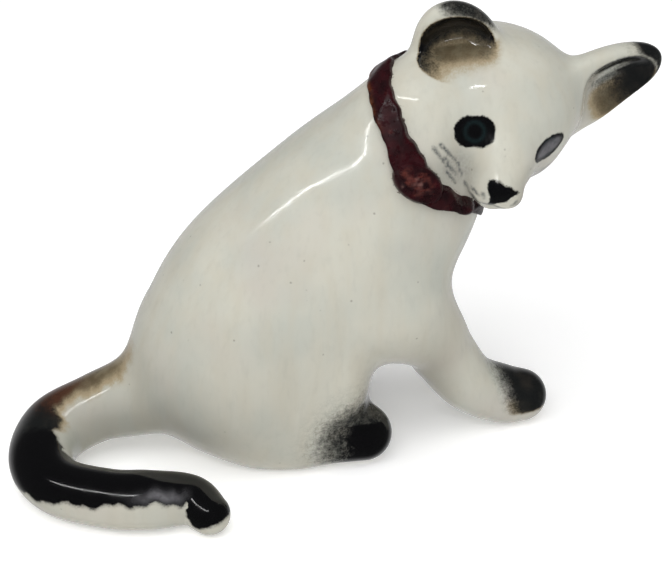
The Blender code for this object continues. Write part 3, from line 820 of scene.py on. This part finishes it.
def glazed_china():
    """Bone china painted black and brown at its points, under a clear, wet-looking glaze."""
    n = Nodes("glazed_china")
    cloud = n.spread(n.noise(0.09, 3), 0.35, 0.65)
    streak = n.spread(n.noise(0.5, 5, (1, 1, 0.13)), 0.36, 0.74)
    colour = n.mix(cloud, CHINA, CHINA_COOL)
    colour = n.over(colour, streak, 0.42, CHINA_WARM)
    flush = n.spread(n.noise(0.07, 2), 0.5, 0.7)
    colour = n.over(colour, flush, 0.5, FLUSH)
    grime = n.spread(n.noise(1.4, 5, (1, 1, 0.35)), 0.45, 0.85)
    colour = n.over(colour, grime, 0.16, GRIME)
    dot, dot_colour = n.cells(0.62)
    chance = n.new("ShaderNodeSeparateColor")
    n.feed(chance.inputs[0], dot_colour)
    ragged_dot = n.maths("ADD", dot, n.maths("MULTIPLY", n.noise(4.0, 2), 0.09))
    picked = n.maths("GREATER_THAN", chance.outputs[0], 0.78)
    speck = n.maths("MULTIPLY", n.spread(ragged_dot, 0.17, 0.08), picked)
    colour = n.over(colour, speck, 0.5, SPECK)

    coarse = n.maths("SUBTRACT", n.noise(1.6, 4), 0.5)
    fine = n.maths("SUBTRACT", n.noise(5.0, 2), 0.5)
    grain = n.maths("ADD", n.maths("MULTIPLY", coarse, 0.9), n.maths("MULTIPLY", fine, 0.7))

    def dusted(amount, strength):
        """A paint amount with grain along its soft edge, as if sprayed."""
        soft = n.maths("MULTIPLY", n.maths("MULTIPLY", amount, n.maths("SUBTRACT", 1.0, amount)), strength)
        return n.maths("ADD", amount, n.maths("MULTIPLY", grain, soft))

    # the shade paint: painted shade between the legs, and darkening over the cheeks and towards the rump
    colour = n.over(colour, n.painted("shade"), 0.75, SHADE)
    veil = dusted(n.painted("brown"), 1.6)
    colour = n.mix(n.spread(veil, 0.04, 0.55), colour, TAN)
    umber = n.mix(n.spread(n.noise(0.8, 5), 0.38, 0.7), BROWN, UMBER)
    colour = n.mix(n.spread(veil, 0.4, 1.0), colour, umber)
    colour = n.mix(n.spread(dusted(n.painted("russet"), 1.6), 0.1, 0.9), colour, RUSSET)
    smoke = dusted(n.painted("smoke"), 2.8)
    soot = n.mix(n.spread(n.noise(0.6, 5), 0.42, 0.75), SOOT, WARM_SOOT)
    colour = n.mix(n.spread(smoke, 0.04, 0.96), colour, soot)

    ragged = n.maths("ADD", n.painted("ink"), n.maths("MULTIPLY", grain, 0.44))
    black = n.spread(ragged, -0.12, 0.14)
    colour = n.mix(black, colour, INK)
    colour = n.mix(n.painted("iris"), colour, IRIS)
    # pale grey: worn paint on the tail, and a painted reflection on the left eye
    rubbed_and_reflection = n.maths("MULTIPLY", n.painted("pale"), n.spread(n.noise(1.1, 5), 0.3, 0.6, 0.6, 0.95))
    colour = n.mix(rubbed_and_reflection, colour, RUBBED_AND_REFLECTING_INK)
    bristles = n.spread(n.noise(3.2, 3), 0.25, 0.7, 0.35, 1.0)
    colour = n.over(colour, n.painted("stroke"), bristles, BRISTLE_INK)
    spill = n.maths("ADD", n.painted("spill"), n.maths("MULTIPLY", grain, 1.1))
    colour = n.over(colour, n.spread(spill, 0.98, 1.16), 0.85, MAROON)
    n.feed(n.shader.inputs["Base Color"], colour)

    n.feed(n.shader.inputs["Roughness"], n.spread(n.noise(0.5, 3), 0.3, 0.8, 0.10, 0.20))
    n.shader.inputs["IOR"].default_value = 1.52
    n.shader.inputs["Coat Weight"].default_value = 0.3
    n.shader.inputs["Coat Roughness"].default_value = 0.03
    wave = n.bump(n.noise(0.16, 1), 0.08)
    peel = n.bump(n.noise(1.0, 2), 0.006, wave)
    n.feed(n.shader.inputs["Normal"], peel)
    n.feed(n.shader.inputs["Coat Normal"], peel)
    return n.material


def ribbon_enamel():
    """Thick maroon enamel, worn to a pinkish grey where it stands proud, rusty along its lower edge."""
    n = Nodes("ribbon_enamel")
    colour = n.mix(n.spread(n.noise(0.5, 3), 0.35, 0.65), DEEP_MAROON, MAROON)
    ruffle = n.maths("MULTIPLY", n.maths("SUBTRACT", n.noise(0.8, 5, (1, 1, 1.8)), 0.5), 2.4)
    fleck = n.maths("ADD", n.maths("MULTIPLY", n.painted("lobe"), 0.6), ruffle)
    colour = n.over(colour, n.spread(fleck, 0.3, 1.1), 0.85, ROSE)
    rust = n.maths("MULTIPLY", n.painted("rust"), n.spread(n.noise(1.0, 3), 0.3, 0.6))
    colour = n.over(colour, rust, 0.75, RUST)
    rubbing = n.maths("MULTIPLY", n.maths("SUBTRACT", n.noise(0.6, 6), 0.5), 2.2)
    worn = n.maths("ADD", n.painted("height"), rubbing)
    colour = n.over(colour, n.spread(worn, 0.95, 1.35), 0.55, WORN_ENAMEL)
    n.feed(n.shader.inputs["Base Color"], colour)
    n.feed(n.shader.inputs["Roughness"], n.spread(n.noise(1.2, 4), 0.35, 0.7, 0.22, 0.5))
    n.shader.inputs["Specular IOR Level"].default_value = 0.3
    n.shader.inputs["Coat Weight"].default_value = 0.1
    n.shader.inputs["Coat Roughness"].default_value = 0.12
    ridges = n.bump(n.noise(0.7, 3, (1, 1, 1.6)), 0.07)
    n.feed(n.shader.inputs["Normal"], n.bump(n.noise(3.0, 3), 0.02, ridges))
    return n.material


def studio_floor():
    """Pale floor whose own glow grows with distance, so that it has no grey horizon."""
    n = Nodes("studio_floor")
    tone = n.mix(n.spread(n.noise(0.02, 3), 0.3, 0.7), *FLOOR_TONES)
    n.feed(n.shader.inputs["Base Color"], tone)
    n.shader.inputs["Roughness"].default_value = 0.9
    n.shader.inputs["Emission Color"].default_value = WHITE
    away = n.new("ShaderNodeVectorMath", operation="LENGTH")
    n.feed(away.inputs[0], n.place)
    n.feed(n.shader.inputs["Emission Strength"], n.spread(away.outputs["Value"], *FLOOR_GLOW))
    return n.material


def studio_backdrop():
    """A plain white surround."""
    n = Nodes("studio_backdrop")
    n.shader.inputs["Base Color"].default_value = WHITE
    n.shader.inputs["Emission Color"].default_value = WHITE
    n.shader.inputs["Emission Strength"].default_value = 1.0
    return n.material


# ---------------------------------------------------------------- pieces
# lowest and highest corners of the space that each mesh is looked for in, and mesh steps
BODY_SPACE, HEAD_SPACE = ((-38, -22, -2), (44, 18, 50)), ((0, -22, 24), (46, 20, 60))
COLLAR_SPACE = ((0, -14, 24), (30, 16, 56))
BODY_STEP, HEAD_STEP, RIBBON_STEP = ((0.45, 0.22, 0.2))


def china_pieces():
    """The whole kitten, meshed fine on the head, then parted into the pieces it is cast in."""
    body = mesh_field(kitten_field, *BODY_SPACE, BODY_STEP)
    head = mesh_field(kitten_field, *HEAD_SPACE, HEAD_STEP)
    body = part_mesh(*body, (body[0] - np.array(NECK_POINT)) @ NECK)[0]
    head = part_mesh(*head, (np.array(NECK_POINT) - head[0]) @ NECK)[0]
    made = {}

    def take(name, mesh, own, others):
        """Keep what lies nearer to its own form than to the others, and return the rest."""
        made[name], rest = part_mesh(*mesh, own - np.minimum.reduce(others))
        return rest

    for side in ("left", "right"):
        head = take(f"ear_{side}", head, ear_field(head[0], side), [head_field(head[0])])
    made["head"] = head
    for name in LIMBS:
        gaps = {other: limb(body[0], path) for other, path in LIMBS.items()}
        own = gaps.pop(name)
        body = take(name, body, own, [trunk_field(body[0]), head_field(body[0]), *gaps.values()])
    made["body"] = body
    return made


def ribbon_field(name):
    return collar_field if name == "collar_band" else partial(bow_field, name=name)


def ribbon_pieces():
    """The collar and the three lobes of its bow."""
    made = {"collar_band": mesh_field(collar_field, *COLLAR_SPACE, RIBBON_STEP)}
    for name, (centre, radii, *_) in BOW_FRAMES.items():
        reach = max(radii) + 1
        low, high = centre - reach, centre + reach
        made[name] = mesh_field(ribbon_field(name), low, high, RIBBON_STEP)
    return made


def make_piece(name, points, triangles, field, paint, material, shift):
    """A closed Blender mesh with smooth normals from the field and its painting as point attributes."""
    points, triangles = close_mesh(points, triangles)
    mesh = bpy.data.meshes.new(name)
    mesh.vertices.add(len(points))
    mesh.vertices.foreach_set("co", ((points + shift) * MM).astype(np.float32).ravel())
    mesh.loops.add(3 * len(triangles))
    mesh.loops.foreach_set("vertex_index", triangles.astype(np.int32).ravel())
    mesh.polygons.add(len(triangles))
    mesh.polygons.foreach_set("loop_start", np.arange(0, 3 * len(triangles), 3, dtype=np.int32))
    mesh.update(calc_edges=True)
    mesh.validate()
    mesh.shade_smooth()
    for key, values in paint(points).items():
        layer = mesh.attributes.new(key, "FLOAT", "POINT")
        layer.data.foreach_set("value", values.astype(np.float32))
    normals = slope(field, points)
    normals /= np.maximum(np.linalg.norm(normals, axis=1, keepdims=True), 1e-9)
    mesh.normals_split_custom_set_from_vertices(normals)
    mesh.materials.append(material)
    obj = bpy.data.objects.new(name, mesh)
    bpy.context.scene.collection.objects.link(obj)
    return obj


def build_kitten():
    """Make every piece, centred on the CAD model. Returns how far the cat's frame was moved, in mm."""
    china, ribbon = china_pieces(), ribbon_pieces()
    everything = np.vstack([points for points, _ in (*china.values(), *ribbon.values())])
    middle = (everything.min(0) + everything.max(0)) / 2
    box_middle = (np.array(CAD_BOX[0]) + np.array(CAD_BOX[1])) / 2 / MM
    shift = np.array((box_middle[0] - middle[0], box_middle[1] - middle[1], 0.0))
    glaze, enamel = glazed_china(), ribbon_enamel()
    for name, (points, triangles) in china.items():
        piece = make_piece(f"{name}_glaze", points, triangles, kitten_field, paint_china, glaze, shift)
        stand_in(piece, name)
    for name, (points, triangles) in ribbon.items():
        field = ribbon_field(name)
        piece = make_piece(f"{name}_enamel", points, triangles, field, paint_ribbon, enamel, shift)
        stand_in(piece, name)
    return shift


def stand_in(piece, node):
    """Let a piece ride on the figure and stand for its CAD node, whose own mesh is hidden."""
    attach(piece, "root")
    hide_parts(node)


# ---------------------------------------------------------------- studio
CAMERA_AZIMUTH, CAMERA_ELEVATION, CAMERA_DISTANCE, CAMERA_LENS = -12, 32, 260, 120
CAMERA_TARGET = (3.9, -1.9, 21.4)
CLIP_START = 0.01
WORLD_DIM, WORLD_PALE = 0.06, 0.5
# cosines to the line behind the figure at which the world's pale glow starts and is full
GLOW_COSINES = (0.35, 0.95)
FLOOR_SIZE, BACKDROP_RADIUS = 6, 2.9
# softboxes: azimuth, elevation, distance, size, power in watts, roll, whether the glaze mirrors it
SOFTBOXES = {"tent": (-40, 72, 900, (1200, 1200), 9.8, 0, False),
             "strip": (-57, 49, 500, (390, 9), 0.26, 14, True),
             "glint": (-22, 50, 500, (46, 12), 0.04, 0, True),
             "side": (75, 30, 800, (500, 500), 0.8, 0, False),
             "front": (-5, 22, 800, (600, 400), 0.9, 0, False)}


def towards(azimuth, elevation):
    """Direction from the figure: azimuth 0 is -Y, 90 is +X."""
    a, e = radians(azimuth), radians(elevation)
    return Vector((sin(a) * cos(e), -cos(a) * cos(e), sin(e)))


def make_camera(shift):
    camera = bpy.data.objects.new("camera", bpy.data.cameras.new("camera"))
    back = towards(CAMERA_AZIMUTH, CAMERA_ELEVATION)
    camera.location = (Vector(CAMERA_TARGET) + Vector(shift) + back * CAMERA_DISTANCE) * MM
    camera.rotation_euler = back.to_track_quat("Z", "Y").to_euler()
    camera.data.lens = CAMERA_LENS
    camera.data.clip_start = CLIP_START
    bpy.context.scene.collection.objects.link(camera)
    bpy.context.scene.camera = camera


def softbox(name, shift):
    azimuth, elevation, distance, size, power, roll, in_glaze = SOFTBOXES[name]
    light = bpy.data.lights.new(name, "AREA")
    light.shape = "RECTANGLE"
    light.size, light.size_y = size[0] * MM, size[1] * MM
    light.energy = power
    obj = bpy.data.objects.new(name, light)
    away = towards(azimuth, elevation)
    obj.location = (Vector(CAMERA_TARGET) + Vector(shift) + away * distance) * MM
    rolled = away.to_track_quat("Z", "Y").to_matrix() @ Matrix.Rotation(radians(roll), 3, "Z")
    obj.rotation_euler = rolled.to_euler()
    obj.visible_glossy = in_glaze
    bpy.context.scene.collection.objects.link(obj)


def world_shader(tree):
    """Dim all round, but pale behind and below the figure, where its outline mirrors the floor."""
    direction = tree.nodes.new("ShaderNodeTexCoord").outputs["Generated"]
    behind = tree.nodes.new("ShaderNodeVectorMath")
    behind.operation = "DOT_PRODUCT"
    tree.links.new(direction, behind.inputs[0])
    behind.inputs[1].default_value = -towards(CAMERA_AZIMUTH, CAMERA_ELEVATION)
    glow = tree.nodes.new("ShaderNodeMapRange")
    glow.interpolation_type = "SMOOTHSTEP"
    tree.links.new(behind.outputs["Value"], glow.inputs["Value"])
    for key, value in zip(RANGE_SOCKETS, (*GLOW_COSINES, WORLD_DIM, WORLD_PALE)):
        glow.inputs[key].default_value = value
    background = tree.nodes["Background"]
    background.inputs["Color"].default_value = WHITE
    tree.links.new(glow.outputs[0], background.inputs["Strength"])


def make_studio(shift):
    bpy.ops.mesh.primitive_plane_add(size=FLOOR_SIZE)
    floor = bpy.context.object
    floor.name = "studio_floor"
    floor.data.materials.append(studio_floor())
    floor.visible_glossy = False
    bpy.ops.mesh.primitive_uv_sphere_add(segments=64, ring_count=32, radius=BACKDROP_RADIUS)
    backdrop = bpy.context.object
    backdrop.name = "studio_backdrop"
    backdrop.data.shade_smooth()
    backdrop.data.materials.append(studio_backdrop())
    backdrop.visible_diffuse = False
    backdrop.visible_glossy = False
    backdrop.visible_shadow = False
    world = bpy.data.worlds.new("studio")
    world.use_nodes = True
    world_shader(world.node_tree)
    bpy.context.scene.world = world
    for name in SOFTBOXES:
        softbox(name, shift)


SHIFT = build_kitten()
make_camera(SHIFT)
make_studio(SHIFT)
bpy.context.scene.view_settings.view_transform = "Standard"
